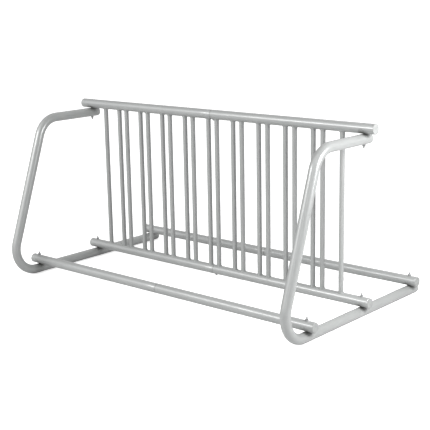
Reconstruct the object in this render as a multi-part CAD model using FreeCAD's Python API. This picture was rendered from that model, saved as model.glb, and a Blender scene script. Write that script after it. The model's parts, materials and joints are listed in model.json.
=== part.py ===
import FreeCAD, Part
import math
import os

# Floor bike rack of round steel tube, free-standing and loaded from the front.
# Millimetres, +Z up. X runs along the rack and +Y points to its rear.
# The origin is on the floor, in the middle of the footprint.

# ---- driving dimensions ----------------------------------------------------------

# Tube stock
TUBE_OD = 38.1
TUBE_WALL = 2.0
UPRIGHT_OD = 19.05
UPRIGHT_WALL = 1.5

# Lengths over the caps, and how the rails stand on the end frames
TOP_RAIL_LENGTH = 1524.0
FLOOR_RAIL_LENGTH = 1498.0
FRAME_SPACING = 1424.0
RAIL_SPACING = 341.0

# End frame, side view: foot, bottom bend, leaning leg, top bend, arm
ARM_AXIS_HEIGHT = 660.0
LEG_LEAN = 19.3
BEND_RADIUS = 100.0
FOOT_BEND_AHEAD = 22.0
FOOT_PAST_REAR_RAIL = 41.0
ARM_PAST_TOP_RAIL = 33.0

# Uprights: one alone, nine close pairs, one alone
SLOTS = 10
SLOT_PITCH = 128.5
PAIR_SPACING = 43.5

# Each end of an upright is notched by two straight cuts that touch the rail at this angle
NOTCH_LEAN = 15.0

# Rail joint: the left half is necked down and slides into the right half
NECK_LENGTH = 5.0
SPIGOT_LENGTH = 70.0
SPIGOT_CLEARANCE = 0.15
JOINT_SCREW_OFFSET = 6.0

# End cap: a flat head, and a six-cornered stem that grips the bore with its corners
CAP_OD = 37.7
CAP_HEAD = 2.5
CAP_STEM_LENGTH = 12.0
CAP_STEM_CLEARANCE = 0.6

# Countersunk frame bolt, its washer and its nut
BOLT_DIAMETER = 6.0
BOLT_LENGTH = 90.0
BOLT_HEAD_DIAMETER = 12.0
BOLT_RECESS = 0.25
BOLT_SOCKET_FLATS = 4.0
BOLT_SOCKET_DEPTH = 2.3
BOLT_TIP_CHAMFER = 0.8
BOLT_HOLE = 6.6
SINK_CLEARANCE = 0.1
WASHER_OD = 12.0
WASHER_BORE = 6.4
WASHER_THICKNESS = 1.6
NUT_FLATS = 10.0
NUT_HEIGHT = 5.0
NUT_BORE = 6.2

# Hex washer-head screw through each rail joint
SCREW_DIAMETER = 4.8
SCREW_LENGTH = 16.0
SCREW_FLATS = 7.9
SCREW_HEAD_HEIGHT = 4.0
SCREW_FLANGE_DIAMETER = 11.0
SCREW_FLANGE_THICKNESS = 1.2
SCREW_HOLE = 5.0

# What repeats or stays closed in has flat sides: uprights, caps, bores, spigots, fasteners.
# The rails and the end frames are round.
UPRIGHT_SIDES = 24
CAP_SIDES = 24
BORE_SIDES = 8
FASTENER_SIDES = 8

# ---- places worked out from them --------------------------------------------------

TUBE_RADIUS = TUBE_OD / 2
BORE_RADIUS = TUBE_RADIUS - TUBE_WALL
SPIGOT_RADIUS = BORE_RADIUS - SPIGOT_CLEARANCE
LEAN = math.radians(LEG_LEAN)

FOOT_Z = TUBE_RADIUS
FLOOR_RAIL_Z = FOOT_Z + TUBE_OD
ARM_Z = ARM_AXIS_HEIGHT
TOP_RAIL_Z = ARM_Z + TUBE_OD

# Y is counted from the front rail first, then moved to the middle of the footprint
FRONTMOST = -(FOOT_BEND_AHEAD + BEND_RADIUS + TUBE_RADIUS)
REARMOST = 2 * RAIL_SPACING + FOOT_PAST_REAR_RAIL
FRONT_RAIL_Y = -(FRONTMOST + REARMOST) / 2
MIDDLE_RAIL_Y = FRONT_RAIL_Y + RAIL_SPACING
REAR_RAIL_Y = MIDDLE_RAIL_Y + RAIL_SPACING
FOOT_BEND_Y = FRONT_RAIL_Y - FOOT_BEND_AHEAD
FOOT_END_Y = REAR_RAIL_Y + FOOT_PAST_REAR_RAIL - CAP_HEAD
ARM_END_Y = MIDDLE_RAIL_Y + ARM_PAST_TOP_RAIL - CAP_HEAD

FRAME_X = {"left": -FRAME_SPACING / 2, "right": FRAME_SPACING / 2}
RAILS = {
    "top": (MIDDLE_RAIL_Y, TOP_RAIL_Z, TOP_RAIL_LENGTH),
    "middle": (MIDDLE_RAIL_Y, FLOOR_RAIL_Z, FLOOR_RAIL_LENGTH),
    "front": (FRONT_RAIL_Y, FLOOR_RAIL_Z, FLOOR_RAIL_LENGTH),
    "rear": (REAR_RAIL_Y, FLOOR_RAIL_Z, FLOOR_RAIL_LENGTH),
}
SCREWED_RAILS = ("top", "middle")

X_AXIS = FreeCAD.Vector(1, 0, 0)
Y_AXIS = FreeCAD.Vector(0, 1, 0)
Z_AXIS = FreeCAD.Vector(0, 0, 1)
DOWN = Z_AXIS * -1


# ---- small helpers ------------------------------------------------------------------

def point(x, y, z):
    return FreeCAD.Vector(x, y, z)


def direction(angle):
    """Unit vector in the YZ plane, at an angle in radians from +Y towards +Z."""
    return point(0, math.cos(angle), math.sin(angle))


def corners(centre, way, radius, sides):
    """Closed outline with flat sides, across a line that runs along way."""
    first = Y_AXIS if abs(way.x) > 0.5 else X_AXIS
    second = way.cross(first)
    turns = [2 * math.pi * step / sides for step in range(sides)]
    around = [first * math.cos(turn) + second * math.sin(turn) for turn in turns]
    outline = [centre + spoke * radius for spoke in around]
    return Part.makePolygon(outline + outline[:1])


def section(centre, way, radius, sides=0):
    """Face across a line: round, or with flat sides."""
    if sides:
        return Part.Face(corners(centre, way, radius, sides))
    return Part.Face(Part.Wire(Part.makeCircle(radius, centre, way)))


def corner(radius, sides=BORE_SIDES):
    """Corner radius of a flat-sided outline with the area of a round one."""
    turn = 2 * math.pi / sides
    return radius * math.sqrt(turn / math.sin(turn))


def straight(start, way, length, radius, sides=0):
    """Straight stretch of bar."""
    return section(start, way, radius, sides).extrude(way * length)


def turned(profile, base, way, sides=FASTENER_SIDES):
    """Solid with flat sides round a line. The profile lists (distance along it, radius)."""
    outlines = [corners(base + way * along, way, radius, sides) for along, radius in profile]
    return Part.makeLoft(outlines, True, True)


def prism(flats, height, base, way):
    """Hexagonal prism with that distance across its flats."""
    return section(base, way, flats / math.sqrt(3), 6).extrude(way * height)


def save(name, *solids):
    """Write one piece, or a group of like pieces, as its own file."""
    shape = solids[0] if len(solids) == 1 else Part.makeCompound(list(solids))
    assert len(shape.Solids) == len(solids), name
    for solid in shape.Solids:
        assert solid.isValid() and solid.Volume > 0, name
    shape.exportStep(os.path.join("parts", name + ".step"))


# ---- frame bolts --------------------------------------------------------------------

def crossing(side, rail):
    """Where the head of a crossing's bolt is, and the way its shank points."""
    x = FRAME_X[side]
    y = RAILS[rail][0]
    if rail == "top":
        return point(x, y, TOP_RAIL_Z + TUBE_RADIUS), DOWN
    return point(x, y, 0), Z_AXIS


def bolt_hole(side, rail):
    """The way through both tubes of a crossing, with its countersunk mouth."""
    surface, way = crossing(side, rail)
    wide = BOLT_HEAD_DIAMETER / 2 + SINK_CLEARANCE
    narrow = BOLT_HOLE / 2
    profile = [
        (-1, wide),
        (BOLT_RECESS, wide),
        (BOLT_RECESS + wide - narrow, narrow),
        (2 * TUBE_OD + 1, narrow),
    ]
    return turned(profile, surface, way)


def frame_bolt(side, rail):
    """Countersunk bolt with a hex socket, its head just under the tube's surface."""
    surface, way = crossing(side, rail)
    base = surface + way * BOLT_RECESS
    head = BOLT_HEAD_DIAMETER / 2
    shank = BOLT_DIAMETER / 2
    profile = [
        (0, head),
        (head - shank, shank),
        (BOLT_LENGTH - BOLT_TIP_CHAMFER, shank),
        (BOLT_LENGTH, shank - BOLT_TIP_CHAMFER),
    ]
    return turned(profile, base, way).cut(prism(BOLT_SOCKET_FLATS, BOLT_SOCKET_DEPTH, base, way))


def frame_washer(side, rail):
    """Flat washer on the far side of the crossing."""
    surface, way = crossing(side, rail)
    base = surface + way * (2 * TUBE_OD)
    disc = section(base, way, WASHER_OD / 2, FASTENER_SIDES)
    hole = section(base, way, WASHER_BORE / 2, FASTENER_SIDES)
    return disc.cut(hole).extrude(way * WASHER_THICKNESS)


def frame_nut(side, rail):
    """Hexagon nut on the washer."""
    surface, way = crossing(side, rail)
    base = surface + way * (2 * TUBE_OD + WASHER_THICKNESS)
    hole = section(base, way, NUT_BORE / 2, FASTENER_SIDES).extrude(way * NUT_HEIGHT)
    return prism(NUT_FLATS, NUT_HEIGHT, base, way).cut(hole)


# ---- rail joint screws ----------------------------------------------------------------

def joint_screw(rail):
    """Hex washer-head screw, driven upwards through both halves of a rail."""
    y, z, _ = RAILS[rail]
    seat = point(JOINT_SCREW_OFFSET, y, z - TUBE_RADIUS)
    shank = SCREW_DIAMETER / 2
    profile = [(0, shank), (SCREW_LENGTH - SCREW_DIAMETER, shank), (SCREW_LENGTH, shank / 4)]
    flange_profile = [(0, SCREW_FLANGE_DIAMETER / 2), (SCREW_FLANGE_THICKNESS, SCREW_FLATS / 2)]
    screw = turned(profile, seat, Z_AXIS)
    flange = turned(flange_profile, seat, DOWN)
    head = prism(SCREW_FLATS, SCREW_FLANGE_THICKNESS + SCREW_HEAD_HEIGHT, seat, DOWN)
    return screw.multiFuse([flange, head]).removeSplitter()


def joint_screw_hole(rail):
    """The hole through the lower walls of both halves."""
    y, z, _ = RAILS[rail]
    start = point(JOINT_SCREW_OFFSET, y, z - TUBE_RADIUS - 1)
    return section(start, Z_AXIS, SCREW_HOLE / 2, FASTENER_SIDES).extrude(Z_AXIS * TUBE_RADIUS)


# ---- rails ------------------------------------------------------------------------------

def left_rail_half(y, z, length):
    """Round tube to near the middle, then a cone and the narrower spigot, all hollow."""
    end = -length / 2 + CAP_HEAD
    middle = point(0, y, z)
    grip = corner(SPIGOT_RADIUS)
    tube = straight(point(end, y, z), X_AXIS, -NECK_LENGTH - end, TUBE_RADIUS)
    neck = Part.makeCone(TUBE_RADIUS, grip, NECK_LENGTH, point(-NECK_LENGTH, y, z), X_AXIS)
    spigot = straight(middle, X_AXIS, SPIGOT_LENGTH, grip, BORE_SIDES)
    bore = turned([
        (end, corner(BORE_RADIUS)),
        (-NECK_LENGTH, corner(BORE_RADIUS)),
        (0, corner(SPIGOT_RADIUS - TUBE_WALL)),
        (SPIGOT_LENGTH, corner(SPIGOT_RADIUS - TUBE_WALL)),
    ], middle, X_AXIS, BORE_SIDES)
    return tube.multiFuse([neck, spigot]).cut(bore)


def right_rail_half(y, z, length):
    """Round tube whose bore takes the spigot."""
    middle = point(0, y, z)
    run = length / 2 - CAP_HEAD
    tube = straight(middle, X_AXIS, run, TUBE_RADIUS)
    return tube.cut(straight(middle, X_AXIS, run, corner(BORE_RADIUS), BORE_SIDES))


def rail_halves(rail):
    """Both halves of one rail, drilled for the frame bolts and the joint screw."""
    y, z, length = RAILS[rail]
    halves = {
        "left": left_rail_half(y, z, length),
        "right": right_rail_half(y, z, length),
    }
    for side in halves:
        halves[side] = halves[side].cut(bolt_hole(side, rail))
        if rail in SCREWED_RAILS:
            halves[side] = halves[side].cut(joint_screw_hole(rail))
    return halves


# ---- end frames ---------------------------------------------------------------------------

def bend(centre, start, end, radius, sides):
    """Bent stretch of an end frame's bar, between two angles in degrees from +Y."""
    angle = math.radians(start)
    middle = centre + direction(angle) * BEND_RADIUS
    way = direction(angle + math.pi / 2)
    return section(middle, way, radius, sides).revolve(centre, X_AXIS, end - start)


def frame_bar(x, radius, sides=0):
    """The end frame's path as a bar: foot, bottom bend, leg, top bend, arm."""
    low_centre = point(x, FOOT_BEND_Y, FOOT_Z + BEND_RADIUS)
    leg_way = direction(math.pi / 2 - LEAN)
    leg_side = direction(math.pi - LEAN)
    leg_start = low_centre + leg_side * BEND_RADIUS
    high_centre_z = ARM_Z - BEND_RADIUS
    leg_length = (high_centre_z - low_centre.z) / math.cos(LEAN)
    high_centre = low_centre + leg_way * leg_length
    arm_start = high_centre + Z_AXIS * BEND_RADIUS

    foot = straight(point(x, FOOT_BEND_Y, FOOT_Z), Y_AXIS, FOOT_END_Y - FOOT_BEND_Y, radius, sides)
    low_bend = bend(low_centre, 180 - LEG_LEAN, 270, radius, sides)
    leg = straight(leg_start, leg_way, leg_length, radius, sides)
    high_bend = bend(high_centre, 90, 180 - LEG_LEAN, radius, sides)
    arm = straight(arm_start, Y_AXIS, ARM_END_Y - arm_start.y, radius, sides)
    return foot.multiFuse([low_bend, leg, high_bend, arm])


def end_frame(side):
    """One bent pipe, drilled for the bolts of its four crossings."""
    x = FRAME_X[side]
    pipe = frame_bar(x, TUBE_RADIUS).cut(frame_bar(x, corner(BORE_RADIUS), BORE_SIDES))
    return pipe.cut([bolt_hole(side, rail) for rail in RAILS])


# ---- uprights -------------------------------------------------------------------------------

def upright_places():
    """Middle X of the twenty uprights, from left to right."""
    places = []
    for slot in range(SLOTS):
        middle = (slot - (SLOTS - 1) / 2) * SLOT_PITCH
        half_gap = (SLOT_PITCH - PAIR_SPACING) / 2
        places += [middle - half_gap, middle + half_gap]
    return places


def notch(x, rail_z, way):
    """What two straight cuts take from an upright's end, so that it sits astride its rail."""
    lean = math.radians(NOTCH_LEAN)
    ridge = TUBE_RADIUS / math.cos(lean)
    edge = ridge - UPRIGHT_OD * math.tan(lean)
    profile = [(-UPRIGHT_OD, 0), (-UPRIGHT_OD, edge), (0, ridge), (UPRIGHT_OD, edge), (UPRIGHT_OD, 0)]
    start = point(x - UPRIGHT_OD, MIDDLE_RAIL_Y, rail_z)
    outline = [start + Y_AXIS * across + way * along for across, along in profile]
    return Part.Face(Part.makePolygon(outline + outline[:1])).extrude(X_AXIS * (2 * UPRIGHT_OD))


def upright(x):
    """Thin tube that stands on the middle rail and reaches up to the top rail."""
    start = point(x, MIDDLE_RAIL_Y, FLOOR_RAIL_Z)
    rise = TOP_RAIL_Z - FLOOR_RAIL_Z
    outside = corner(UPRIGHT_OD / 2, UPRIGHT_SIDES)
    bore = corner(UPRIGHT_OD / 2 - UPRIGHT_WALL)
    tube = straight(start, Z_AXIS, rise, outside, UPRIGHT_SIDES)
    tube = tube.cut(straight(start, Z_AXIS, rise, bore, BORE_SIDES))
    return tube.cut([notch(x, FLOOR_RAIL_Z, Z_AXIS), notch(x, TOP_RAIL_Z, DOWN)])


# ---- end caps ---------------------------------------------------------------------------------

def end_cap(tube_end, way):
    """Push-in plug: a flat head over the tube's end and a stem in its bore."""
    head = straight(tube_end, way, CAP_HEAD, corner(CAP_OD / 2, CAP_SIDES), CAP_SIDES)
    stem = straight(tube_end, way, -CAP_STEM_LENGTH, BORE_RADIUS - CAP_STEM_CLEARANCE, 6)
    return head.fuse(stem)


def rail_caps(rail):
    """The plugs of a rail's two ends."""
    y, z, length = RAILS[rail]
    reach = length / 2 - CAP_HEAD
    return [end_cap(point(way * reach, y, z), X_AXIS * way) for way in (-1, 1)]


def frame_caps(y, z):
    """The plugs of the two end frames, at the rear of the feet or of the arms."""
    return [end_cap(point(x, y, z), Y_AXIS) for x in FRAME_X.values()]


# ---- the rack -----------------------------------------------------------------------------------

os.makedirs("parts", exist_ok=True)

for side_name in FRAME_X:
    save(side_name + "_end_frame", end_frame(side_name))

for rail_name in RAILS:
    for side_name, half in rail_halves(rail_name).items():
        save(rail_name + "_rail_" + side_name, half)
    save(rail_name + "_rail_caps", *rail_caps(rail_name))

for number, place in enumerate(upright_places(), start=1):
    save("upright_%02d" % number, upright(place))

save("foot_caps", *frame_caps(FOOT_END_Y, FOOT_Z))
save("arm_caps", *frame_caps(ARM_END_Y, ARM_Z))

crossings = [(side_name, rail_name) for side_name in FRAME_X for rail_name in RAILS]
save("frame_bolts", *[frame_bolt(*place) for place in crossings])
save("frame_washers", *[frame_washer(*place) for place in crossings])
save("frame_nuts", *[frame_nut(*place) for place in crossings])
save("joint_screws", *[joint_screw(rail_name) for rail_name in SCREWED_RAILS])
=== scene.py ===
"""Floor bike rack: bent end frames, jointed rails, welded uprights, plugs and bolts."""

import json
import math

import bmesh
import bpy
from mathutils import Matrix, Vector

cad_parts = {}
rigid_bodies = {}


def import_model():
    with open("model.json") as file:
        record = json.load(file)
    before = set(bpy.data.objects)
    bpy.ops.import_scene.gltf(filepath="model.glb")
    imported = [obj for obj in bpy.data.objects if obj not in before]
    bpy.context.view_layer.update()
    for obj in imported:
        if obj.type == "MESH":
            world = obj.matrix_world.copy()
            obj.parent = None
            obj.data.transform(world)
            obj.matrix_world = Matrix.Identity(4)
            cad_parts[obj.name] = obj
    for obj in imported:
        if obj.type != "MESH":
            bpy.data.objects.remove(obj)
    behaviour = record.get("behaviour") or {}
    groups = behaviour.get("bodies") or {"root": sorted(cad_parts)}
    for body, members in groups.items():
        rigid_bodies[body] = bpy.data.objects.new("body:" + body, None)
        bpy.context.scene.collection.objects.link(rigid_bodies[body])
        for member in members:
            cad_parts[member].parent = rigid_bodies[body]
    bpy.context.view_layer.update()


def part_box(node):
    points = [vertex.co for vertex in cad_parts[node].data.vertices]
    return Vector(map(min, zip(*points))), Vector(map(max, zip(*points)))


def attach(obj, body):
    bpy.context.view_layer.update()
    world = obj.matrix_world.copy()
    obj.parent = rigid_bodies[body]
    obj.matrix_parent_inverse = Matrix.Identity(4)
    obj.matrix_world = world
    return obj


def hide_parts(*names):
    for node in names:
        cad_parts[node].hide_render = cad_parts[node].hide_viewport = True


bl_info = {
    "name": "Floor Bike Rack",
    "version": (1, 0, 0),
    "blender": (4, 5, 0),
    "location": "View3D > Sidebar > Bike Rack",
    "description": "Builds the painted tubes, welds, plugs and bolts of a floor bike rack",
    "category": "Object",
}

# A new Blender file brings a cube, a lamp and a camera of its own
for thing in list(bpy.data.objects):
    bpy.data.objects.remove(thing)

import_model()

SIDES = ("left", "right")
RAILS = ("top", "middle", "front", "rear")
SCREWED_RAILS = ("top", "middle")
X_AXIS = Vector((1, 0, 0))
Y_AXIS = Vector((0, 1, 0))
Z_AXIS = Vector((0, 0, 1))
MM = 0.001
SEAM_REACH = 3 * MM
WHITE = (1.0, 1.0, 1.0, 1.0)

# Fineness of the meshes. An end frame's steps are those of its foot, low bend, leg, high
# bend and arm, and a thread's are those of one turn.
FRAME_STEPS = (24, 44, 20, 30, 10)
RAIL_STEPS = 16
ROUNDING_STEPS = 6
CROWN_STEPS = 5
PLUG_FACETS = 64
WASHER_FACETS = 64
NUT_FACETS = 72
BOLT_FACETS = 48
BEAD_STEPS = 120
THREAD_STEPS = 6


# ---- where the solids are ----

def middle(node):
    """Middle of a node's box."""
    low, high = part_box(node)
    return (low + high) / 2


def rail_line(rail):
    """Y and Z of a rail's axis, and the X of its two open tube ends."""
    place = middle(rail + "_rail_left")
    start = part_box(rail + "_rail_left")[0].x
    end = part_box(rail + "_rail_right")[1].x
    return place.y, place.z, start, end


LEFT_FRAME_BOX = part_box("left_end_frame")
FRAME_X = {side: middle(side + "_end_frame").x for side in SIDES}
TUBE_DIAMETER = LEFT_FRAME_BOX[1].x - LEFT_FRAME_BOX[0].x
FRAME_SPACING = FRAME_X["right"] - FRAME_X["left"]
RAIL_SPACING = rail_line("middle")[0] - rail_line("front")[0]


# ---- what a user may change ----

def number(name, description, default, **limits):
    """A plain number."""
    return bpy.props.FloatProperty(name=name, description=description, default=default,
                                   **limits)


def count(name, description, default, **limits):
    """A whole number."""
    return bpy.props.IntProperty(name=name, description=description, default=default, **limits)


def length(name, description, millimetres):
    """A size, whose default is given in millimetres."""
    return number(name, description, millimetres * MM, min=0, precision=5, unit="LENGTH",
                  subtype="DISTANCE")


def colour(name, description, default):
    """A linear colour."""
    return bpy.props.FloatVectorProperty(
        name=name, description=description, default=default, size=3,
        min=0, max=1, subtype="COLOR")


class RackTubes(bpy.types.PropertyGroup):
    diameter: length("Main tube", "Outside diameter of rails and end frames", TUBE_DIAMETER / MM)
    wall: length("Main wall", "Wall of the rails' and end frames' tube", 2)
    upright_diameter: length("Upright tube", "Outside diameter of an upright", 19.05)
    bend_radius: length("Bend radius", "Radius of an end frame's bends, to the axis", 100)
    leg_lean: number("Leg lean", "Lean of an end frame's leg from upright",
                     math.radians(19.3), subtype="ANGLE")
    foot_bend_ahead: length("Foot ahead", "Straight foot ahead of the front rail", 22)
    bend_flattening: number("Bend flattening", "Share by which a bend's section is squeezed",
                            0.012, min=0, max=0.1, subtype="FACTOR")
    rim_rounding: length("Rim rounding", "Rounding of a cut tube end", 0.4)
    neck: length("Neck", "Length of the cone where a rail half narrows", 5)
    spigot: length("Spigot", "Length of the narrowed end inside the other half", 70)
    spigot_clearance: length("Spigot clearance", "Gap round the narrowed end", 0.15)
    facets: count("Facets", "Facets round a main tube", 96, min=24, max=192)


class RackUprights(bpy.types.PropertyGroup):
    slots: count("Slots", "Wheel slots, each between two uprights", 10, min=1)
    slot_pitch: length("Slot pitch", "From the middle of one slot to the next", 128.5)
    pair_spacing: length("Pair spacing", "Between the two uprights of a close pair", 43.5)


class RackWelds(bpy.types.PropertyGroup):
    bead: length("Bead", "Radius of a weld bead", 2.1)
    ripples: count("Ripples", "Ripples of a bead round one upright", 30, min=6)
    ripple_depth: number("Ripple depth", "Share of the bead that a ripple adds or takes",
                         0.09, min=0, max=0.4, subtype="FACTOR")


class RackPlugs(bpy.types.PropertyGroup):
    diameter: length("Plug", "Diameter of a plug's head", 37.7)
    head: length("Head", "Thickness of a plug's head", 2.5)
    rounding: length("Rounding", "Rounding of the head's edge", 2.1)
    crown: length("Crown", "Rise of the head's middle above its edge", 0.35)
    stem: length("Stem", "Length of the part inside the tube", 12)


class RackFasteners(bpy.types.PropertyGroup):
    bolt: length("Bolt", "Diameter of a frame bolt's thread", 6)
    bolt_length: length("Bolt length", "Whole length of a frame bolt", 90)
    threaded: length("Threaded end", "Length of the thread at a bolt's end", 30)
    bolt_recess: length("Recess", "Depth of a bolt head below the tube's crown", 0.25)
    head: length("Bolt head", "Diameter of the countersunk head", 12)
    socket_flats: length("Socket", "Across the flats of the bolt's socket", 4)
    socket_depth: length("Socket depth", "Depth of the bolt's socket", 2.3)
    pitch: length("Pitch", "Pitch of the frame bolts' thread", 1)
    washer: length("Washer", "Outside diameter of a washer", 12)
    washer_thickness: length("Washer thickness", "Thickness of a washer", 1.6)
    nut_flats: length("Nut", "Across the flats of a nut", 10)
    nut_height: length("Nut height", "Height of a nut", 5)
    screw_flats: length("Screw", "Across the flats of a joint screw", 7.9)
    screw_head: length("Screw head", "Height of a joint screw's head", 4)
    screw_flange: length("Screw flange", "Diameter of a joint screw's flange", 11)
    screw_offset: length("Screw offset", "From the seam to the joint screw", 6)


class RackColours(bpy.types.PropertyGroup):
    paint: colour("Tube paint", "Silver-grey paint of every tube", (0.35, 0.359, 0.356))
    # On the weld beads this colour is also painted shade, in the crevices between ripples.
    paint_shade: colour("Paint shade", "Where the paint lies thinner", (0.295, 0.303, 0.3))
    steel: colour("Bare steel", "Steel where the paint is rubbed", (0.56, 0.56, 0.57))
    plug: colour("Plugs", "Moulded plastic of the plugs", (0.3, 0.307, 0.304))
    zinc: colour("Zinc", "Plating of bolts, nuts, washers and screws", (0.42, 0.425, 0.43))
    dust: colour("Dust", "Settled dust", (0.50, 0.495, 0.48))
    # Painted shade: this colour darkens the grooves at the rail seams and the gaps where tubes
    # cross.
    grime: colour("Grime", "Dirt in seams and where tubes touch", (0.09, 0.09, 0.085))
    floor: colour("Floor", "Pale studio floor", (0.9, 0.9, 0.9))


class RackStage(bpy.types.PropertyGroup):
    surround: number("Surround", "Strength of the light from all around", 0.4, min=0)
    floor_glow: number("Floor glow", "Brightness of the floor from below", 0.6, min=0)
    floor_bounce: number("Floor bounce", "Share of the floor's light that reaches the rack",
                         0.75, min=0, max=1, subtype="FACTOR")
    daylight: number("Daylight", "Strength of the even light from the front", 1.85, min=0)
    backlight: number("Backlight", "Strength of the even light from behind", 0.8, min=0)
    front: number("Front", "Power of the lamp ahead and to the left", 75, min=0, unit="POWER")
    side: number("Side", "Power of the lamp beside the right end frame", 28, min=0,
                 unit="POWER")
    lens: number("Lens", "Focal length of the camera in millimetres", 84.115)


def rack(group):
    """One group of the rack's settings."""
    return getattr(bpy.context.scene, "rack_" + group)


# ---- node trees ----

def spaced(key):
    """A keyword as a socket's label."""
    return key.replace("_", " ")


def sign(operation, swapped=False):
    """Method that adds the math node of a sign between a wire and another term."""
    def method(wire, other):
        terms = (other, wire) if swapped else (wire, other)
        return wire.net.calc(operation, *terms)
    return method


class Wire:
    """An output in a node tree. Arithmetic with it adds math nodes."""

    __add__ = sign("ADD")
    __radd__ = sign("ADD", swapped=True)
    __sub__ = sign("SUBTRACT")
    __rsub__ = sign("SUBTRACT", swapped=True)
    __mul__ = sign("MULTIPLY")
    __truediv__ = sign("DIVIDE")
    __mod__ = sign("MODULO")
    __pow__ = sign("POWER")

    def __init__(self, net, socket):
        self.net = net
        self.socket = socket

    def calc(self, operation, *terms, clamp=False):
        """Output of a math node that has this wire as its first term."""
        return self.net.calc(operation, self, *terms, clamp=clamp)

    def __abs__(self):
        return self.calc("ABSOLUTE")

    def ranged(self, low, high, to_low, to_high):
        """Clamped, smooth change of range."""
        return self.net.put("ShaderNodeMapRange", {
            "Value": self, "From Min": low, "From Max": high,
            "To Min": to_low, "To Max": to_high}, interpolation_type="SMOOTHSTEP")


class Net:
    """A node tree that is being built."""

    def __init__(self, tree):
        self.tree = tree

    def feed(self, socket, value):
        """Link a socket to a wire, or set its value."""
        if isinstance(value, Wire):
            self.tree.links.new(value.socket, socket)
        else:
            socket.default_value = value

    def node(self, kind, sockets=None, **settings):
        """Add a node, with its settings and sockets."""
        node = self.tree.nodes.new(kind)
        for key, value in settings.items():
            setattr(node, key, value)
        for key, value in (sockets or {}).items():
            self.feed(node.inputs[key], value)
        return node

    def put(self, kind, sockets=None, output=0, **settings):
        """Add a node, and give one of its outputs."""
        return Wire(self, self.node(kind, sockets, **settings).outputs[output])

    def calc(self, operation, *terms, clamp=False):
        """Output of a math node."""
        return self.put("ShaderNodeMath", dict(enumerate(terms)), operation=operation,
                        use_clamp=clamp)

    def blended(self, factor, first, second):
        """Mix of two colours."""
        return self.put("ShaderNodeMix", {0: factor, 6: first, 7: second}, output=2,
                        data_type="RGBA")

    def noise(self, place, scale, detail, roughness=0.5):
        """Soft noise over a surface."""
        return self.put("ShaderNodeTexNoise", {
            "Vector": place, "Scale": scale, "Detail": detail, "Roughness": roughness})

    def vector(self, **parts):
        """Vector from its X, Y and Z."""
        return self.put("ShaderNodeCombineXYZ", parts)

    def parts(self, vector):
        """X, Y and Z of a vector."""
        node = self.node("ShaderNodeSeparateXYZ", {0: vector})
        return [Wire(self, socket) for socket in node.outputs]


class Group(Net):
    """A node group with one output: a geometry, or a value of a shared effect.

    Each input is given by its default, or else by the kind of its socket.
    """

    def __init__(self, name, output, **inputs):
        shape = output == "Geometry"
        super().__init__(bpy.data.node_groups.new(
            name, "GeometryNodeTree" if shape else "ShaderNodeTree"))
        sockets = self.tree.interface
        for key, default in inputs.items():
            kind = {float: "Float", int: "Int"}.get(type(default))
            socket = sockets.new_socket(spaced(key), in_out="INPUT",
                                        socket_type="NodeSocket" + (kind or default))
            if kind:
                socket.default_value = default
        sockets.new_socket(output, in_out="OUTPUT",
                           socket_type="NodeSocket" + ("Geometry" if shape else "Float"))
        self.given = self.tree.nodes.new("NodeGroupInput").outputs

    def __getitem__(self, label):
        return Wire(self, self.given[label])

    def end(self, value):
        """Put out a value, and give the finished tree."""
        self.feed(self.tree.nodes.new("NodeGroupOutput").inputs[0], value)
        return self.tree


def title(build):
    """Name of what a function builds."""
    return spaced(build.__name__).capitalize()


def shared(build):
    """A node group that is built once."""
    return bpy.data.node_groups.get(title(build)) or build(title(build))


# ---- effects that several finishes share ----

def orange_peel(name):
    """Low dimples of sprayed and baked paint, or the grain of moulded plastic."""
    net = Group(name, "Height", Vector="Vector", Scale=700.0, Grit=0.25)
    dimples = net.noise(net["Vector"], net["Scale"], 1.0, 0.4)
    fine = net.noise(net["Vector"], net["Scale"] * 5.0, 2.0)
    return net.end(dimples + fine * net["Grit"])


def drawn_lines(name):
    """Faint lines along a drawn tube, or along the turned side of a fastener."""
    net = Group(name, "Mask", Vector="Vector", Across=260.0, Along=3.0)
    stretch = net.vector(X=net["Across"], Y=net["Across"], Z=net["Along"])
    stretched = net.put("ShaderNodeVectorMath", {0: net["Vector"], 1: stretch},
                        operation="MULTIPLY")
    return net.end(net.noise(stretched, 1.0, 3.0, 0.6).ranged(0.3, 0.7, 0.0, 1.0))


def rubbed_edge(name):
    """Broken-up wear that fades with the distance from an edge."""
    net = Group(name, "Mask", Vector="Vector", Distance=1.0, Reach=0.004, Breakup=420.0)
    patches = net.noise(net["Vector"], net["Breakup"], 4.0, 0.65)
    uneven = net["Distance"] / net["Reach"] + patches * 1.6
    return net.end(uneven.ranged(0.75, 1.15, 1.0, 0.0))


def settled_dust(name):
    """Thin dust on what faces up, thicker in patches."""
    net = Group(name, "Mask", Vector="Vector", Amount=0.12)
    _, _, facing = net.parts(net.put("ShaderNodeNewGeometry", output="Normal"))
    thick = net.noise(net["Vector"], 14.0, 5.0, 0.6).ranged(0.35, 0.7, 0.2, 1.0)
    return net.end(facing.ranged(0.35, 1.0, 0.0, 1.0) * thick * net["Amount"])


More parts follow.
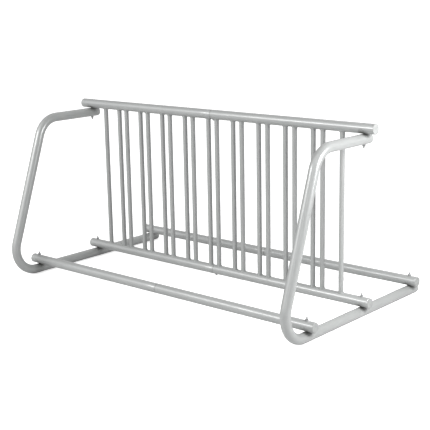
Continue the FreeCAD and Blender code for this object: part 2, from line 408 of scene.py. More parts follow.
def crossing_dirt(name):
    """Painted shade in the gap where an end frame and a rail touch, darker close to each contact
    and uneven in patches.
    """
    net = Group(name, "Mask", Vector="Vector", Frame_X=0.712, Middle_Y=0.05,
                Rail_Spacing=0.341, Floor_Contact=0.038, Top_Contact=0.679, Reach=0.031)
    x, y, z = net.parts(net["Vector"])
    past_frame = abs(x) - net["Frame X"]
    past_top = y - net["Middle Y"]
    half = net["Rail Spacing"] / 2.0
    past_floor_rail = past_top.calc("WRAP", half, half * -1.0)
    away = []
    for aside, level in ((past_floor_rail, "Floor Contact"), (past_top, "Top Contact")):
        gap = net.vector(X=past_frame, Y=aside, Z=z - net[level])
        away.append(net.put("ShaderNodeVectorMath", {0: gap}, output="Value",
                            operation="LENGTH"))
    patches = net.noise(net["Vector"], 160.0, 3.0)
    # Painted shade: the mask is full at the contact and fades out over the reach.
    uneven = net.calc("MINIMUM", *away) * (patches + 0.5)
    return net.end(uneven.ranged(net["Reach"] * 0.35, net["Reach"], 1.0, 0.0))


# ---- finishes ----

class Finish(Net):
    """A material with one shader. Constants go straight onto the shader's sockets."""

    def __init__(self, name, **constants):
        self.material = bpy.data.materials.new(name)
        self.material.use_nodes = True
        super().__init__(self.material.node_tree)
        self.vary(**constants)
        self.place = self.put("ShaderNodeTexCoord", output="Object")

    def attribute(self, name, output="Fac"):
        """An attribute of the piece."""
        return self.put("ShaderNodeAttribute", output=output, attribute_name=name)

    def effect(self, build, **sockets):
        """Place a shared effect, in the piece's own space unless it is given another."""
        values = {spaced(key): value for key, value in sockets.items()}
        return self.put("ShaderNodeGroup", {"Vector": self.place, **values},
                        node_tree=shared(build))

    def vary(self, **sockets):
        """Set or feed the shader's sockets."""
        shader = self.tree.nodes["Principled BSDF"]
        for key, value in sockets.items():
            self.feed(shader.inputs[spaced(key)], value)

    def bump(self, height, strength, distance):
        """Give the shader a bump, and the finished material."""
        self.vary(Normal=self.put("ShaderNodeBump", {
            "Height": height, "Strength": strength, "Distance": distance}))
        return self.material


def finish(build):
    """A material that is built once."""
    return bpy.data.materials.get(title(build)) or build(title(build))


def shade(name, share=1.0):
    """One of the rack's colours for a node, made darker or lighter."""
    values = getattr(rack("colours"), name)
    return (*[min(1.0, value * share) for value in values], 1.0)


def silver_tube_paint(name):
    """Satin paint with orange peel, faint draw lines, rubbed rims and dust, and painted shade
    along the seams and where tubes touch.
    """
    look = Finish(name, Coat_Weight=0.35, Coat_Roughness=0.2)
    y, top_z, _, _ = rail_line("top")
    clouds = look.noise(look.place, 9.0, 4.0, 0.55)
    lines = look.effect(drawn_lines, Vector=look.attribute("grain", "Vector"))
    rubbed = look.effect(rubbed_edge, Distance=look.attribute("rim"), Reach=0.0014)
    dust = look.effect(settled_dust)
    crossing_shadow = look.effect(crossing_dirt, Frame_X=FRAME_SPACING / 2, Middle_Y=y,
                       Rail_Spacing=RAIL_SPACING, Floor_Contact=TUBE_DIAMETER,
                       Top_Contact=top_z - TUBE_DIAMETER / 2)
    # Painted shade: the paint is darkened along the groove of each rail seam and round the
    # contacts where tubes cross.
    painted_shade = (look.attribute("seam") * 0.5).calc("ADD", crossing_shadow * 0.85, clamp=True)

    thin = clouds.ranged(0.3, 0.75, 0.0, 0.45) * lines.ranged(0.0, 1.0, 0.55, 1.0)
    paint = look.blended(thin, shade("paint"), shade("paint_shade"))
    worn = look.blended(rubbed, paint, shade("steel"))
    shaded_paint = look.blended(painted_shade, worn, shade("grime"))
    satin = clouds.ranged(0.3, 0.7, 0.29, 0.36) + lines * 0.03
    look.vary(Base_Color=look.blended(dust, shaded_paint, shade("dust")),
              Roughness=satin + dust * 0.8 + painted_shade * 0.4 - rubbed * 0.08,
              Metallic=0.2 + rubbed * 0.7)
    relief = look.effect(orange_peel) + lines * 0.5 - rubbed * 1.2
    return look.bump(relief, 0.35, 0.00006)


def painted_weld(name):
    """The same paint, pulled thin over the ripples of a weld bead, with painted shade in the
    crevices between ripples.
    """
    look = Finish(name, Coat_Weight=0.35, Coat_Roughness=0.2)
    ripple = look.attribute("ripple")
    rubbed = look.effect(rubbed_edge, Distance=1.0 - ripple, Reach=0.9, Breakup=600.0)
    spatter = look.noise(look.place, 900.0, 3.0)
    # Painted shade: the bead is darker in the crevice before each ripple and lighter on its
    # crest.
    paint = look.blended(ripple, shade("paint_shade"), shade("paint"))
    look.vary(Base_Color=look.blended(rubbed * 0.4, paint, shade("steel")),
              Roughness=spatter.ranged(0.3, 0.7, 0.34, 0.52),
              Metallic=0.2 + rubbed * 0.3)
    return look.bump(spatter + ripple, 0.5, 0.00015)


def plug_plastic(name):
    """Pale moulded plastic with a fine grain, scuffed round its edge."""
    look = Finish(name, Metallic=0.0, Specular_IOR_Level=0.45)
    clouds = look.noise(look.place, 60.0, 3.0)
    scuffed = look.effect(rubbed_edge, Distance=look.attribute("rim"), Reach=0.003,
                          Breakup=700.0)
    dust = look.effect(settled_dust, Amount=0.2)
    mottled = look.blended(clouds.ranged(0.35, 0.7, 0.0, 1.0), shade("plug"),
                           shade("plug", 0.86))
    scuffs = look.blended(scuffed * 0.15, mottled, shade("plug", 1.25))
    look.vary(Base_Color=look.blended(dust, scuffs, shade("dust")),
              Roughness=0.46 + scuffed * 0.2)
    return look.bump(look.effect(orange_peel, Scale=1800.0, Grit=0.8), 0.4, 0.00005)


def zinc_plate(name):
    """Bright zinc with a fine turned grain and dull patches."""
    look = Finish(name)
    dull = look.noise(look.place, 320.0, 4.0, 0.6).ranged(0.45, 0.75, 0.0, 0.6)
    lines = look.effect(drawn_lines, Across=150.0, Along=5000.0)
    look.vary(Base_Color=look.blended(dull, shade("zinc"), shade("zinc", 0.72)),
              Roughness=0.28 + dull * 0.3, Metallic=dull.ranged(0.0, 0.6, 1.0, 0.8))
    return look.bump(lines, 0.25, 0.00003)


def studio_floor(name):
    """Pale, back-lit table with the faintest unevenness, which throws little light back."""
    stage = rack("stage")
    look = Finish(name, Metallic=0.0, Emission_Color=WHITE)
    clouds = look.noise(look.place, 1.3, 3.0)
    mottled = look.blended(clouds.ranged(0.3, 0.7, 0.0, 1.0), shade("floor"),
                           shade("floor", 0.985))
    seen = look.put("ShaderNodeLightPath", output="Is Camera Ray")
    look.vary(Base_Color=look.blended(seen, shade("floor", stage.floor_bounce), mottled),
              Emission_Strength=seen * stage.floor_glow,
              Roughness=clouds.ranged(0.3, 0.7, 0.55, 0.62))
    return look.material


# ---- mesh helpers ----

def across(way):
    """Two directions across a line, the second turned left of the first."""
    first = Y_AXIS if abs(way.x) > 0.5 else X_AXIS
    return first, way.cross(first)


def bridged(mesh, loops, ring):
    """Close a mesh between its loops of points. A loop of one point is a pole."""
    for near, far in zip(loops, loops[1:] + loops[:1] * ring):
        facets = max(len(near), len(far))
        for step in range(facets):
            after = (step + 1) % facets
            corners = (near[step % len(near)], near[after % len(near)],
                       far[after % len(far)], far[step % len(far)])
            mesh.faces.new(list(dict.fromkeys(corners)))
    bmesh.ops.recalc_face_normals(mesh, faces=mesh.faces)
    return mesh


def skin(sections, facets, rims, ring=False, seams=()):
    """Mesh through round sections.

    A section is (middle, first direction, second direction, radii, distance along). Rims
    are distances along at which the tube has a cut edge, and seams those at which it meets
    another. A ring joins its last section to its first. A section without radii is a pole.
    """
    mesh = bmesh.new()
    grain = mesh.verts.layers.float_vector.new("grain")
    rim = mesh.verts.layers.float.new("rim")
    seam = mesh.verts.layers.float.new("seam")
    loops = []
    for centre, first, second, (wide, high), along in sections:
        loop = []
        for step in range(facets if wide else 1):
            turn = 2 * math.pi * step / facets
            a, b = wide * math.cos(turn), high * math.sin(turn)
            vertex = mesh.verts.new(centre + first * a + second * b)
            vertex[grain] = (a, b, along)
            vertex[rim] = min(abs(along - place) for place in rims)
            vertex[seam] = max([0.0] + [1 - abs(along - place) / SEAM_REACH for place in seams])
            loop.append(vertex)
        loops.append(loop)
    return bridged(mesh, loops, ring)


def turned_skin(profile, base, way, facets, rims, ring=False, seams=()):
    """Mesh turned round a line. The profile lists (distance along it, radius)."""
    first, second = across(way)
    sections = [(base + way * along, first, second, (radius, radius), along)
                for along, radius in profile]
    return skin(sections, facets, rims, ring, seams)


def stacked(outlines, facets, ring=False):
    """Mesh through outlines round the Z axis, closed at both ends or joined to a ring.

    An outline is (reach, height). The reach may go by the turn, and the height by the reach.
    """
    mesh = bmesh.new()
    loops = []
    for reach, height in outlines:
        loop = []
        for step in range(facets):
            turn = 2 * math.pi * step / facets
            out = reach(turn) if callable(reach) else reach
            up = height(out) if callable(height) else height
            loop.append(mesh.verts.new((out * math.cos(turn), out * math.sin(turn), up)))
        loops.append(loop)
    if not ring:
        mesh.faces.new(loops[0])
        mesh.faces.new(loops[-1])
    return bridged(mesh, loops, ring)


def six_sided(flats, lead):
    """Reach of a hexagon, turned by its lead."""
    sixth = math.pi / 3
    return lambda turn: flats / 2 / math.cos((turn + lead) % sixth - sixth / 2)


def new_object(name, data):
    """Object in the scene."""
    thing = bpy.data.objects.new(name, data)
    bpy.context.scene.collection.objects.link(thing)
    return thing


def smoothed(data, sharp):
    """Mesh that is shaded smooth except at edges sharper than an angle in degrees."""
    data.shade_smooth()
    data.set_sharp_from_angle(angle=math.radians(sharp))
    return data


def new_piece(name, meshes, material, sharp=35):
    """Piece from any number of meshes, in one material."""
    whole = bmesh.new()
    for part in meshes:
        data = bpy.data.meshes.new("part")
        part.to_mesh(data)
        part.free()
        whole.from_mesh(data)
        bpy.data.meshes.remove(data)
    data = bpy.data.meshes.new(name)
    whole.to_mesh(data)
    whole.free()
    data.materials.append(material)
    return new_object(name, smoothed(data, sharp))


def settle(piece, sharp=None):
    """Turn a piece with modifiers into a plain mesh."""
    evaluated = piece.evaluated_get(bpy.context.evaluated_depsgraph_get())
    data = bpy.data.meshes.new_from_object(evaluated)
    piece.modifiers.clear()
    piece.data = data
    data.name = piece.name
    if sharp is not None:
        smoothed(data, sharp)
    return piece


def drill(piece, cutters):
    """Cut holes in a piece. The cutters are closed meshes."""
    tools = []
    for place, cutter in enumerate(cutters):
        tool = new_piece("%s_hole_%d" % (piece.name, place), [cutter], piece.data.materials[0])
        cut = piece.modifiers.new("Hole", "BOOLEAN")
        cut.object = tool
        cut.solver = "EXACT"
        tools.append(tool)
    settle(piece, 35)
    for tool in tools:
        bpy.data.objects.remove(tool)
    return piece


def run_tree(piece, build, **values):
    """Add a geometry tree to a piece, with its inputs by name."""
    tree = shared(build)
    modifier = piece.modifiers.new(tree.name, "NODES")
    modifier.node_group = tree
    labelled = {spaced(key): value for key, value in values.items()}
    for item in tree.interface.items_tree:
        if item.in_out == "INPUT" and item.name in labelled:
            modifier[item.identifier] = labelled[item.name]


def mount(piece, slot, *nodes):
    """Let a piece ride on the rack and stand for its solids."""
    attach(piece, "root")
    if nodes:
        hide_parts(*nodes)
    return piece


def countersink(centre, way):
    """Cutter for a bolt head's seat, from outside a tube inwards."""
    sizes = rack("fasteners")
    wide = sizes.head / 2 + 0.1 * MM
    narrow = sizes.bolt / 2 + 0.3 * MM
    outside, inside = -2 * MM, 12 * MM
    profile = [
        (outside, 0), (outside, wide), (sizes.bolt_recess, wide),
        (sizes.bolt_recess + wide - narrow, narrow), (inside, narrow), (inside, 0)]
    return turned_skin(profile, centre, way, BOLT_FACETS, [0])


# ---- end frames ----

def frame_path():
    """Sections of an end frame's line: (Y, Z, angle of travel, distance along, share of bend).

    They go from the foot's rear end forwards, up the leg, and back along the arm. Both
    bends turn clockwise.
    """
    tubes = rack("tubes")
    radius = tubes.bend_radius
    y, z = LEFT_FRAME_BOX[1].y, tubes.diameter / 2
    arm_z = LEFT_FRAME_BOX[1].z - tubes.diameter / 2
    arm_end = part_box("arm_caps")[0].y + rack("plugs").stem
    foot = y - rail_line("front")[0] + tubes.foot_bend_ahead
    leg_way = math.pi / 2 - tubes.leg_lean
    leg = (arm_z - z - 2 * radius) / math.cos(tubes.leg_lean)
    arm = arm_end - (y - foot + math.cos(leg_way) * leg)
    way, travelled = math.pi, 0.0
    stations = []
    stretches = ((foot, 0), (None, math.pi - leg_way), (leg, 0), (None, leg_way), (arm, 0))
    for (size, sweep), steps in zip(stretches, FRAME_STEPS):
        size = size or radius * sweep
        for step in range(steps + 1):
            share = step / steps
            heading = way - sweep * share
            if sweep:
                ahead = radius * (math.sin(way) - math.sin(heading))
                up = radius * (math.cos(heading) - math.cos(way))
            else:
                ahead = math.cos(way) * size * share
                up = math.sin(way) * size * share
            bent = min(1.0, 4 * share, 4 * (1 - share)) if sweep else 0.0
            if step < steps:
                stations.append((y + ahead, z + up, heading, travelled + size * share, bent))
        y, z, way, travelled = y + ahead, z + up, heading, travelled + size
    stations.append((arm_end, arm_z, 0.0, travelled, 0.0))
    return stations


def end_frame(side):
    """One bent pipe with its wall, its cut ends and the seats of its bolt heads."""
    tubes = rack("tubes")
    x = FRAME_X[side]
    radius = tubes.diameter / 2
    bore = radius - tubes.wall
    rounding = tubes.rim_rounding
    stations = frame_path()
    reach = stations[-1][3]

    def at(station, out, inset=0.0):
        """A section, moved along the line by the inset."""
        y, z, way, along, bent = station
        forward = Vector((0, math.cos(way), math.sin(way)))
        upward = Vector((0, -math.sin(way), math.cos(way)))
        squeeze = tubes.bend_flattening * bent
        return (Vector((x, y, z)) + forward * inset, X_AXIS, upward,
                (out * (1 + squeeze * 0.2), out * (1 - squeeze)), along + inset)

    first, last = stations[0], stations[-1]
    outer = [at(first, radius - rounding), at(first, radius, rounding)]
    outer += [at(station, radius) for station in stations[1:-1]]
    outer += [at(last, radius, -rounding), at(last, radius - rounding)]
    inner = [at(station, bore) for station in reversed(stations)]
    mesh = skin(outer + inner, tubes.facets, [0.0, reach], ring=True)
    piece = new_piece(side + "_bent_tube", [mesh], finish(silver_tube_paint))
    drill(piece, [countersink(Vector((x, rail_line(rail)[0], 0)), Z_AXIS)
                  for rail in RAILS if rail != "top"])
    return mount(piece, "tube_finish", side + "_end_frame")


# ---- rails ----

def rail_half(rail, side):
    """One half of a rail. The left half narrows at the seam and slides into the right one."""
    tubes = rack("tubes")
    y, z, start, end = rail_line(rail)
    radius = tubes.diameter / 2
    bore = radius - tubes.wall
    rounding = tubes.rim_rounding
    if side == "left":
        inner = bore - tubes.spigot_clearance
        run = -tubes.neck - start
        profile = [(start, radius - rounding), (start + rounding, radius)]
        profile += [(start + run * step / RAIL_STEPS, radius)
                    for step in range(1, RAIL_STEPS + 1)]
        profile += [(0, inner), (tubes.spigot, inner), (tubes.spigot, inner - tubes.wall),
                    (0, inner - tubes.wall), (-tubes.neck, bore), (start, bore)]
        rims = [start]
    else:
        profile = [(0, radius - rounding), (rounding, radius), (SEAM_REACH, radius)]
        profile += [(end * step / RAIL_STEPS, radius) for step in range(1, RAIL_STEPS)]
        profile += [(end - rounding, radius), (end, radius - rounding), (end, bore), (0, bore)]
        rims = [end]
    mesh = turned_skin(profile, Vector((0, y, z)), X_AXIS, tubes.facets, rims, ring=True,
                       seams=[0.0])
    piece = new_piece("%s_rail_%s_tube" % (rail, side), [mesh], finish(silver_tube_paint))
    if rail == "top":
        drill(piece, [countersink(Vector((FRAME_X[side], y, z + radius)), -Z_AXIS)])
    return mount(piece, "tube_finish", "%s_rail_%s" % (rail, side))


# ---- uprights and their welds ----

ROW_INPUTS = dict(
    Slots=10, Slot_Pitch=0.1285, Pair_Spacing=0.0435, Row_Y=0.0, Upright_Radius=0.0095,
    Rail_Radius=0.019, Bottom_Rail_Z=0.057, Top_Rail_Z=0.698, Material="Material")


def upright_line(net):
    """Points for every upright: one alone, close pairs, one alone."""
    points = net.put("GeometryNodeMeshLine", {"Count": net["Slots"] * 2.0}, mode="OFFSET")
    index = net.put("GeometryNodeInputIndex")
    slot = (index / 2.0).calc("FLOOR")
    side = index % 2.0 * 2.0 - 1.0
    half_row = (net["Slots"] - 1.0) / 2.0
    half_gap = (net["Slot Pitch"] - net["Pair Spacing"]) / 2.0
    x = (slot - half_row) * net["Slot Pitch"] + side * half_gap
    return placed(net, points, X=x, Y=net["Row Y"])


def rail_surface(net, aside):
    """Height of a rail's surface above its axis, at a distance aside from it."""
    squares = net["Rail Radius"] ** 2.0 - aside ** 2.0
    return squares.calc("MAXIMUM", 0.0).calc("SQRT")


def stored(net, geometry, name, data_type, value):
    """Geometry with an attribute of its points."""
    return net.put("GeometryNodeStoreNamedAttribute", {
        "Geometry": geometry, "Name": name, "Value": value},
        data_type=data_type, domain="POINT")


def placed(net, geometry, **place):
    """Geometry with each point at its new X, Y and Z."""
    return net.put("GeometryNodeSetPosition", {
        "Geometry": geometry, "Position": net.vector(**place)})


def shifted(net, geometry, **way):
    """Geometry moved along X, Y or Z."""
    return net.put("GeometryNodeTransform", {
        "Geometry": geometry, "Translation": net.vector(**way)})


def copied(net, points, piece, turn=(0.0, 0.0, 0.0)):
    """Copies of a piece on points."""
    return net.put("GeometryNodeInstanceOnPoints", {
        "Points": points, "Instance": piece, "Rotation": turn})


def joined(net, pieces):
    """Several geometries as one."""
    node = net.node("GeometryNodeJoinGeometry")
    for piece in pieces:
        net.feed(node.inputs["Geometry"], piece)
    return Wire(net, node.outputs[0])


def finished(net, geometry):
    """End of a tree: real geometry in one material."""
    real = net.put("GeometryNodeRealizeInstances", {"Geometry": geometry})
    return net.end(net.put("GeometryNodeSetMaterial", {
        "Geometry": real, "Material": net["Material"]}))


def coped_uprights(name):
    """Coped tubes on the points of the row."""
    net = Group(name, "Geometry", **ROW_INPUTS)
    height = net["Top Rail Z"] - net["Bottom Rail Z"]
    half = height / 2.0
    bar = net.put("GeometryNodeMeshCylinder", {
        "Vertices": 56, "Side Segments": 12, "Radius": net["Upright Radius"],
        "Depth": height}, fill_type="TRIANGLE_FAN")
    place = net.put("GeometryNodeInputPosition")
    x, y, z = net.parts(place)
    coped = half - rail_surface(net, y)
    shaped = placed(net, bar, X=x, Y=y, Z=z / half * coped)
    marked = stored(net, shaped, "grain", "FLOAT_VECTOR", place)
    marked = stored(net, marked, "rim", "FLOAT", coped - abs(z))
    raised = shifted(net, marked, Z=net["Bottom Rail Z"] + half)
    return finished(net, copied(net, upright_line(net), raised))


def weld_beads(name):
    """Rippled beads round both ends of every upright."""
    net = Group(name, "Geometry", **ROW_INPUTS, Bead=0.002, Ripples=30, Ripple_Depth=0.09)
    stand_off = net["Bead"] * 0.15
    ring = net.put("GeometryNodeCurvePrimitiveCircle", {
        "Resolution": BEAD_STEPS, "Radius": net["Upright Radius"] + stand_off})
    x, y, _ = net.parts(net.put("GeometryNodeInputPosition"))
    line = placed(net, ring, X=x, Y=y, Z=rail_surface(net, y) + stand_off)
    turns = net.put("GeometryNodeInputIndex") / BEAD_STEPS * net["Ripples"]
    rise = turns.calc("FRACT") ** 0.6
    uneven = net.put("ShaderNodeTexNoise", {"Scale": 160.0, "Detail": 1.0})
    swell = rise * net["Ripple Depth"] + uneven * 0.25
    profile = net.put("GeometryNodeCurvePrimitiveCircle", {"Resolution": 8, "Radius": 1.0})
    body = net.put("GeometryNodeCurveToMesh", {
        "Curve": stored(net, line, "ripple", "FLOAT", rise), "Profile Curve": profile,
        "Scale": net["Bead"] * (0.85 + swell)})
    points = upright_line(net)
    rows = [copied(net, shifted(net, points, Z=net[level]), body, (turn, 0.0, 0.0))
            for level, turn in (("Bottom Rail Z", 0.0), ("Top Rail Z", math.pi))]
    return finished(net, net.put("GeometryNodeSetShadeSmooth", {
        "Geometry": joined(net, rows)}))


def run_row_tree(piece, build, **values):
    """Run a tree with the inputs that the uprights and their welds share."""
    row, tubes = rack("uprights"), rack("tubes")
    y, top_z, _, _ = rail_line("top")
    run_tree(piece, build, Slots=row.slots, Slot_Pitch=row.slot_pitch,
             Pair_Spacing=row.pair_spacing, Row_Y=y, Upright_Radius=tubes.upright_diameter / 2,
             Rail_Radius=tubes.diameter / 2, Bottom_Rail_Z=rail_line("middle")[1],
             Top_Rail_Z=top_z, Material=piece.data.materials[0], **values)


# ---- plugs and fasteners ----

def plug(tube_end, way):
    """Push-in plug: a rounded, slightly crowned head and a stem with a chamfered end."""
    sizes = rack("plugs")
    tubes = rack("tubes")
    grip = tubes.diameter / 2 - tubes.wall - 0.5 * MM
    chamfer = 1 * MM
    radius = sizes.diameter / 2
    edge = sizes.head - sizes.crown
    profile = [(-sizes.stem, 0), (-sizes.stem, grip - chamfer), (-sizes.stem + chamfer, grip),
               (0, grip), (0, radius)]
    for step in range(1, ROUNDING_STEPS + 1):
        turn = math.pi / 2 * step / ROUNDING_STEPS
        profile.append((edge - sizes.rounding * (1 - math.sin(turn)),
                        radius - sizes.rounding * (1 - math.cos(turn))))
    flat = radius - sizes.rounding
    for step in range(1, CROWN_STEPS):
        share = step / CROWN_STEPS
        profile.append((edge + sizes.crown * (1 - (1 - share) ** 2), flat * (1 - share)))
    profile.append((sizes.head, 0))
    return turned_skin(profile, tube_end, way, PLUG_FACETS, [edge])


def plugs(name, ends, node):
    """The plugs of one node."""
    meshes = [plug(tube_end, way) for tube_end, way in ends]
    return mount(new_piece(name, meshes, finish(plug_plastic), 40), "cap_plastic", node)


def hexagon_body(flats, height, bore, chamfer):
    """Nut or screw head: hexagonal, its outer corners cut by a cone on the upper side.

    It stands on Z = 0. Without a bore it is solid.
    """
    inscribed = flats / 2 * 0.97
    slope = math.tan(math.radians(chamfer))
    outline = six_sided(flats, math.pi / 6)
    outlines = [
        (outline, lambda reach: (reach - inscribed) * slope if bore else 0.0),
        (outline, lambda reach: height - (reach - inscribed) * slope),
        (inscribed, height)]
    if bore:
        hole, lip = bore / 2, 0.4 * MM
        outlines += [(hole + lip, height), (hole, height - lip), (hole, lip),
                     (hole + lip, 0.0), (inscribed, 0.0)]
    return stacked(outlines, NUT_FACETS, ring=bool(bore))


def bolt_head():
    """Plain part of a bolt: shank and countersunk head with a hexagonal socket, face down."""
    sizes = rack("fasteners")
    face, head, shank = sizes.bolt_recess, sizes.head / 2, sizes.bolt / 2
    lip = 0.25 * MM
    socket = six_sided(sizes.socket_flats, 0.0)
    return stacked([
        (socket, face + sizes.socket_depth), (socket, face), (head - lip, face),
        (head, face + lip * 0.6), (head, face + lip * 1.6),
        (shank, face + lip * 1.6 + head - shank),
        (shank, face + sizes.bolt_length - sizes.threaded)], BOLT_FACETS)


def threaded_shank(name):
    """Adds a threaded shank to the geometry that it is given."""
    net = Group(name, "Geometry", Geometry="Geometry", Radius=0.003, Start=0.05, End=0.09,
                Pitch=0.001, Taper=0.0009, Material="Material")
    span = net["End"] - net["Start"]
    half = span / 2.0
    shank = net.put("GeometryNodeMeshCylinder", {
        "Vertices": 32, "Side Segments": span / net["Pitch"] * THREAD_STEPS,
        "Radius": net["Radius"], "Depth": span}, fill_type="TRIANGLE_FAN")
    x, y, z = net.parts(net.put("GeometryNodeInputPosition"))
    turn = z / net["Pitch"] - y.calc("ARCTAN2", x) / (2 * math.pi)
    groove = abs(turn.calc("FRACT") - 0.5) * net["Pitch"] * 1.15
    taper = (net["Taper"] - (half - z)).calc("MAXIMUM", 0.0)
    share = 1.0 - (groove + taper) / net["Radius"]
    cut = placed(net, shank, X=x * share, Y=y * share, Z=z)
    raised = shifted(net, cut, Z=net["Start"] + half)
    return finished(net, joined(net, [raised, net["Geometry"]]))


def at_each_crossing(name):
    """Copies of a fastener at the eight tube crossings, each turned at random about its line."""
    net = Group(name, "Geometry", Geometry="Geometry", Frame_Spacing=1.424,
                Rail_Spacing=0.341, Middle_Y=0.05, Floor_Level=0.0, Top_Level=0.717, Seed=4,
                Material="Material")
    grid = net.put("GeometryNodeMeshGrid", {
        "Size X": net["Frame Spacing"], "Size Y": net["Rail Spacing"] * 2.0,
        "Vertices X": 2, "Vertices Y": 3})
    _, y, _ = net.parts(net.put("GeometryNodeInputPosition"))
    middle_row = net.put("GeometryNodeDeleteGeometry", {
        "Geometry": grid, "Selection": abs(y).calc("GREATER_THAN", 0.01)}, domain="POINT")
    copies = []
    for points, level, turn, shift in ((grid, "Floor Level", 0.0, 0.0),
                                       (middle_row, "Top Level", math.pi, 7.0)):
        spin = net.put("FunctionNodeRandomValue", {
            "Max": (0.0, 0.0, 2 * math.pi), "Seed": net["Seed"] + shift},
            data_type="FLOAT_VECTOR")
        twist = net.put("ShaderNodeVectorMath", {0: spin, 1: (turn, 0.0, 0.0)},
                        operation="ADD")
        row = shifted(net, points, Y=net["Middle Y"], Z=net[level])
        copies.append(copied(net, row, net["Geometry"], twist))
    return finished(net, joined(net, copies))


def at_crossings(piece, above, seed, *nodes):
    """Copy a fastener to every crossing, at a distance past the surface that its bolt enters."""
    radius = rack("tubes").diameter / 2
    y, top_z, _, _ = rail_line("top")
    run_tree(piece, at_each_crossing, Frame_Spacing=FRAME_SPACING, Rail_Spacing=RAIL_SPACING,
             Middle_Y=y, Floor_Level=above, Top_Level=top_z + radius - above, Seed=seed,
             Material=piece.data.materials[0])
    return mount(settle(piece), "zinc_plate", *nodes)


def joint_screw(rail):
    """Hex washer-head screw under a rail joint, with a faceted flange and a pointed shank."""
    sizes = rack("fasteners")
    y, z, _, _ = rail_line(rail)
    seat = Vector((sizes.screw_offset, y, z - rack("tubes").diameter / 2))
    shank, rim, top = 2.3 * MM, sizes.screw_flange / 2, 1.2 * MM
    flange = turned_skin([
        (-16 * MM, 0), (-11 * MM, shank), (0, shank), (0, rim - 0.2 * MM), (0.3 * MM, rim),
        (0.7 * MM, rim - 0.1 * MM), (top, sizes.screw_flats / 2), (top, 0)],
        seat, -Z_AXIS, BOLT_FACETS, [0])
    head = hexagon_body(sizes.screw_flats, sizes.screw_head, 0, 25)
    head.transform(Matrix.Translation(seat - Z_AXIS * top) @ Matrix.Rotation(math.pi, 4, "X"))
    return [flange, head]


# ---- stage ----

CAMERA_PLACE = Vector((2.63495, -2.95105, 1.2052))
CAMERA_YAW = 0.7198
CAMERA_PITCH = -0.2262
CAMERA_ROLL = -0.0189
FLOOR_REACH = 150.0


def camera_matrix():
    """Camera at the photograph's viewpoint."""
    turned = (Matrix.Rotation(CAMERA_YAW, 4, "Z")
              @ Matrix.Rotation(math.pi / 2 + CAMERA_PITCH, 4, "X")
              @ Matrix.Rotation(CAMERA_ROLL, 4, "Z"))
    return Matrix.Translation(CAMERA_PLACE) @ turned


def new_light(name, kind, way, strength):
    """Light that shines one way."""
    light = bpy.data.lights.new(name, kind)
    light.energy = strength
    holder = new_object(name, light)
    holder.rotation_euler = Vector(way).to_track_quat("-Z", "Y").to_euler()
    return light, holder


def soft_lamp(name, place, target, size, power):
    """Rectangular lamp that looks at a point."""
    lamp, holder = new_light(name, "AREA", Vector(target) - Vector(place), power)
    lamp.shape = "RECTANGLE"
    lamp.size, lamp.size_y = size
    holder.location = place
    holder.visible_camera = False


def even_light(name, way, strength):
    """Wide, soft daylight that travels one way."""
    sky, _ = new_light(name, "SUN", way, strength)
    sky.angle = math.radians(100)


# ---- operators ----

class RACK_OT_end_frames(bpy.types.Operator):
    """Bend the two end frames from tube"""
    bl_idname = "rack.end_frames"
    bl_label = "End Frames"

    def execute(self, context):
        for side in SIDES:
            end_frame(side)
        return {"FINISHED"}


class RACK_OT_rails(bpy.types.Operator):
    """Make both halves of the four rails"""
    bl_idname = "rack.rails"
    bl_label = "Rails"

    def execute(self, context):
        for rail in RAILS:
            for side in SIDES:
                rail_half(rail, side)
        return {"FINISHED"}


class RACK_OT_uprights(bpy.types.Operator):
    """Set the coped uprights between the middle rail and the top rail"""
    bl_idname = "rack.uprights"
    bl_label = "Uprights"

    def execute(self, context):
        piece = new_piece("uprights", [], finish(silver_tube_paint))
        run_row_tree(piece, coped_uprights)
        settle(piece, 35)
        nodes = ["upright_%02d" % number
                 for number in range(1, 2 * rack("uprights").slots + 1)]
        mount(piece, "tube_finish", *nodes)
        return {"FINISHED"}


class RACK_OT_upright_welds(bpy.types.Operator):
    """Lay a weld bead round both ends of every upright"""
    bl_idname = "rack.upright_welds"
    bl_label = "Upright Welds"

    def execute(self, context):
        welds = rack("welds")
        piece = new_piece("upright_welds", [], finish(painted_weld))
        run_row_tree(piece, weld_beads, Bead=welds.bead, Ripples=welds.ripples,
                     Ripple_Depth=welds.ripple_depth)
        mount(settle(piece), "tube_finish")
        return {"FINISHED"}


class RACK_OT_plugs(bpy.types.Operator):
    """Push a plastic plug into every open tube end"""
    bl_idname = "rack.plugs"
    bl_label = "Plugs"

    def execute(self, context):
        for rail in RAILS:
            y, z, start, end = rail_line(rail)
            ends = [(Vector((start, y, z)), -X_AXIS), (Vector((end, y, z)), X_AXIS)]
            plugs(rail + "_rail_plugs", ends, rail + "_rail_caps")
        for part in ("foot", "arm"):
            z = middle(part + "_caps").z
            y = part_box(part + "_caps")[0].y + rack("plugs").stem
            ends = [(Vector((x, y, z)), Y_AXIS) for x in FRAME_X.values()]
            plugs(part + "_plugs", ends, part + "_caps")
        return {"FINISHED"}


class RACK_OT_frame_bolts(bpy.types.Operator):
    """Put a countersunk bolt through every tube crossing"""
    bl_idname = "rack.frame_bolts"
    bl_label = "Frame Bolts"

    def execute(self, context):
        sizes = rack("fasteners")
        zinc = finish(zinc_plate)
        piece = new_piece("bolts", [bolt_head()], zinc, 30)
        tip = sizes.bolt_recess + sizes.bolt_length
        run_tree(piece, threaded_shank, Radius=sizes.bolt / 2,
                 Start=tip - sizes.threaded - 0.1 * MM, End=tip, Pitch=sizes.pitch,
                 Material=zinc)
        at_crossings(settle(piece), 0.0, 3, "frame_bolts")
        return {"FINISHED"}


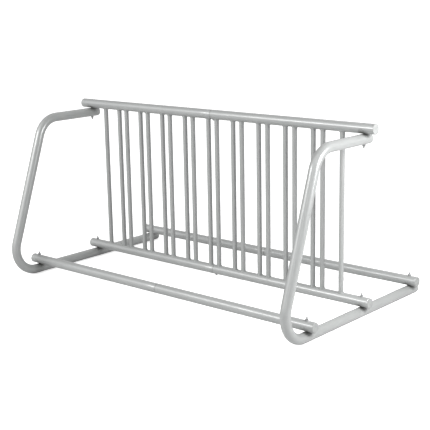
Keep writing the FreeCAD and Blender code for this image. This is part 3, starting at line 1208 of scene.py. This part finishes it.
class RACK_OT_frame_washers(bpy.types.Operator):
    """Put a washer under every nut"""
    bl_idname = "rack.frame_washers"
    bl_label = "Frame Washers"

    def execute(self, context):
        sizes = rack("fasteners")
        outer, bore = sizes.washer / 2, sizes.bolt / 2 + 0.2 * MM
        thick, lip = sizes.washer_thickness, 0.2 * MM
        profile = [(0, bore), (0, outer - lip), (lip, outer), (thick - lip, outer),
                   (thick, outer - lip), (thick, bore)]
        disc = turned_skin(profile, Vector(), Z_AXIS, WASHER_FACETS, [0], ring=True)
        piece = new_piece("washers", [disc], finish(zinc_plate), 30)
        at_crossings(piece, 2 * rack("tubes").diameter, 5, "frame_washers")
        return {"FINISHED"}


class RACK_OT_frame_nuts(bpy.types.Operator):
    """Put a hexagon nut on every frame bolt"""
    bl_idname = "rack.frame_nuts"
    bl_label = "Frame Nuts"

    def execute(self, context):
        sizes = rack("fasteners")
        seat = 2 * rack("tubes").diameter + sizes.washer_thickness
        body = hexagon_body(sizes.nut_flats, sizes.nut_height, sizes.bolt - 0.3 * MM, 28)
        piece = new_piece("nuts", [body], finish(zinc_plate), 30)
        at_crossings(piece, seat, 11, "frame_nuts")
        return {"FINISHED"}


class RACK_OT_joint_screws(bpy.types.Operator):
    """Screw the joints of the top rail and the middle rail"""
    bl_idname = "rack.joint_screws"
    bl_label = "Joint Screws"

    def execute(self, context):
        parts = [part for rail in SCREWED_RAILS for part in joint_screw(rail)]
        piece = new_piece("rail_joint_screws", parts, finish(zinc_plate), 30)
        mount(piece, "zinc_plate", "joint_screws")
        return {"FINISHED"}


class RACK_OT_stage(bpy.types.Operator):
    """Set up the floor, the soft light and the camera"""
    bl_idname = "rack.stage"
    bl_label = "Stage"

    def execute(self, context):
        scene = context.scene
        settings = rack("stage")
        sheet = bmesh.new()
        bmesh.ops.create_grid(sheet, x_segments=8, y_segments=8, size=FLOOR_REACH)
        floor = new_piece("floor", [sheet], finish(studio_floor))

        scene.world = scene.world or bpy.data.worlds.new("Studio")
        scene.world.use_nodes = True
        sky = Net(scene.world.node_tree)
        surround = sky.tree.nodes["Background"].inputs
        seen = sky.put("ShaderNodeLightPath", output="Is Camera Ray")
        sky.feed(surround["Color"], WHITE)
        sky.feed(surround["Strength"], seen.calc("MAXIMUM", settings.surround))
        even_light("daylight", (0.25, 0.9, -0.36), settings.daylight)
        even_light("backlight", (0.0, -0.95, -0.3), settings.backlight)
        soft_lamp("front", (-1.7, -3.6, 2.4), (0, 0, 0.35), (2.2, 0.6), settings.front)
        soft_lamp("side", (1.8, 0.05, 1.0), (0.71, -0.12, 0.6), (0.6, 0.6), settings.side)
        scene.view_settings.view_transform = "Standard"

        view = bpy.data.cameras.new("Camera")
        view.sensor_width = 36.0
        view.lens = settings.lens
        view.clip_end = 400.0
        scene.camera = new_object("Camera", view)
        scene.camera.matrix_world = camera_matrix()
        return {"FINISHED"}


OPERATORS = (
    RACK_OT_stage,
    RACK_OT_end_frames,
    RACK_OT_rails,
    RACK_OT_uprights,
    RACK_OT_upright_welds,
    RACK_OT_plugs,
    RACK_OT_frame_bolts,
    RACK_OT_frame_washers,
    RACK_OT_frame_nuts,
    RACK_OT_joint_screws,
)
SETTINGS = dict(
    rack_tubes=RackTubes, rack_uprights=RackUprights, rack_welds=RackWelds,
    rack_plugs=RackPlugs, rack_fasteners=RackFasteners, rack_colours=RackColours,
    rack_stage=RackStage)


class RACK_PT_panel(bpy.types.Panel):
    """Sizes, colours and pieces of the rack"""
    bl_idname = "RACK_PT_panel"
    bl_label = "Floor Bike Rack"
    bl_space_type = "VIEW_3D"
    bl_region_type = "UI"
    bl_category = "Bike Rack"

    def draw(self, context):
        for operator in OPERATORS:
            self.layout.operator(operator.bl_idname)
        for setting in SETTINGS:
            group = getattr(context.scene, setting)
            box = self.layout.box()
            box.label(text=setting.replace("rack_", "").capitalize())
            for name in group.bl_rna.properties.keys():
                if name not in ("rna_type", "name"):
                    box.prop(group, name)


CLASSES = (*SETTINGS.values(), *OPERATORS, RACK_PT_panel)


def register():
    for cls in CLASSES:
        bpy.utils.register_class(cls)
    for setting, group in SETTINGS.items():
        setattr(bpy.types.Scene, setting, bpy.props.PointerProperty(type=group))


def unregister():
    for setting in SETTINGS:
        delattr(bpy.types.Scene, setting)
    for cls in reversed(CLASSES):
        bpy.utils.unregister_class(cls)


def main():
    register()
    for operator in OPERATORS:
        getattr(bpy.ops.rack, operator.bl_idname.split(".")[1])()


if __name__ == "__main__":
    main()
